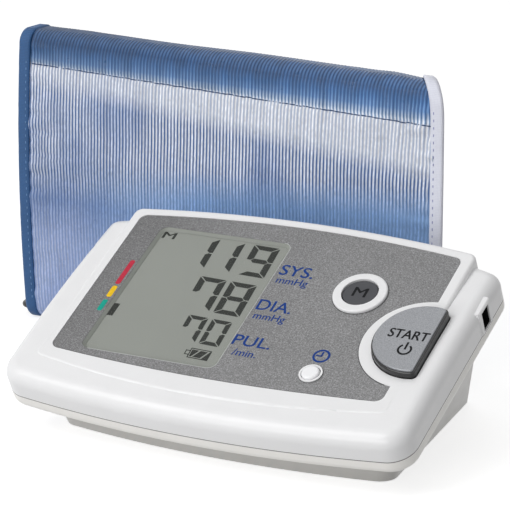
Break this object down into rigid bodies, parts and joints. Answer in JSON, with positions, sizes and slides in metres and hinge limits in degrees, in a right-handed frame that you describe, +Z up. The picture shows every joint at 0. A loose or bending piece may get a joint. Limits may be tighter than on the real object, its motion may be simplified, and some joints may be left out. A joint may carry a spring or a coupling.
{
  "type": "arm-in blood pressure monitor",
  "caption": "Desktop blood pressure monitor with a tilted display panel, round start key and side sockets, and a closed-loop fabric arm cuff standing behind it.",
  "frame": {"origin": "on the surface the monitor stands on, in the middle of the monitor's width and depth", "axes": "+X to the right along the monitor's front, +Y towards its back and the cuff, +Z up"},
  "size_m": [0.2168, 0.149, 0.1106],
  "materials": {
    "housing_upper": "glossy white",
    "housing_lower": "glossy light grey",
    "battery_cover": "satin light grey",
    "rubber_pad": "soft grey",
    "screw_steel": "zinc plated",
    "panel": "fine metallic speckle, glossy",
    "window": "clear acrylic",
    "lcd": "grey-green liquid crystal",
    "holder": "plain",
    "zebra": "elastomer",
    "start_body": "black",
    "start_face": "metallic grey",
    "key_dark": "dark grey",
    "key_white": "glossy white",
    "switch": "black",
    "board": "green solder mask",
    "component": "black",
    "cell": "printed sleeve",
    "contact": "nickel plated",
    "motor": "plated can",
    "pump_head": "black",
    "foam": "open cell",
    "valve": "plated yoke",
    "fitting": "natural",
    "silicone": "translucent",
    "socket": "grey",
    "jack": "black",
    "cuff_cloth": "ribbed glossy nylon",
    "cuff_lining": "soft nylon",
    "bladder": "coated sheet",
    "binding_dark": "woven tape",
    "binding_light": "woven tape",
    "flap_cloth": "ribbed glossy nylon",
    "hook": "hook and loop",
    "ring_wire": "black",
    "hose_port": "grey"
  },
  "bodies": {
    "monitor": {"air_manifold": "fitting", "air_socket": "socket", "air_tube_pump": "silicone", "air_tube_sensor": "silicone", "air_tube_socket": "silicone", "air_tube_valve": "silicone", "air_valve": "valve", "battery_1": "cell", "battery_2": "cell", "battery_3": "cell", "battery_4": "cell", "battery_contacts": "contact", "board_components": "component", "board_screws": "screw_steel", "buzzer": "component", "dc_jack": "jack", "housing_screws": "screw_steel", "key_switches": "switch", "lcd_holder": "holder", "lcd_module": "lcd", "lcd_window": "window", "lower_housing": "housing_lower", "main_board": "board", "panel_overlay": "panel", "pressure_sensor": "component", "pump_cushion": "foam", "pump_head": "pump_head", "pump_motor": "motor", "rubber_pads": "rubber_pad", "upper_housing": "housing_upper", "zebra_strips": "zebra"},
    "start_key": {"start_button": "start_body", "start_button_face": "start_face"},
    "memory_key": {"memory_button": "key_dark"},
    "set_key": {"set_button": "key_white"},
    "battery_door": {"battery_cover": "battery_cover"},
    "cuff": {"cuff_binding_left": "binding_dark", "cuff_binding_right": "binding_light", "cuff_bladder": "bladder", "cuff_flap": "flap_cloth", "cuff_hook_patch": "hook", "cuff_hose_port": "hose_port", "cuff_lining": "cuff_lining", "cuff_ring": "ring_wire", "cuff_sleeve": "cuff_cloth"}
  },
  "joints": [
    {"name": "start_press", "type": "slide", "parent": "monitor", "child": "start_key", "axis": [0, 0.4587, -0.8886], "range_m": [0, 0.001], "stiffness_N_per_m": 600, "springref_m": -0.0005},
    {"name": "memory_press", "type": "slide", "parent": "monitor", "child": "memory_key", "axis": [0, 0.4587, -0.8886], "range_m": [0, 0.001], "stiffness_N_per_m": 500, "springref_m": -0.0005},
    {"name": "set_press", "type": "slide", "parent": "monitor", "child": "set_key", "axis": [0, 0.4587, -0.8886], "range_m": [0, 0.001], "stiffness_N_per_m": 500, "springref_m": -0.0005},
    {"name": "battery_cover_lift", "type": "slide", "parent": "monitor", "child": "battery_door", "axis": [0, 0, -1], "range_m": [0, 0.03]},
    {"name": "cuff_lift", "type": "slide", "parent": "monitor", "child": "cuff", "axis": [0, 0, 1], "range_m": [0, 0.15]}
  ]
}
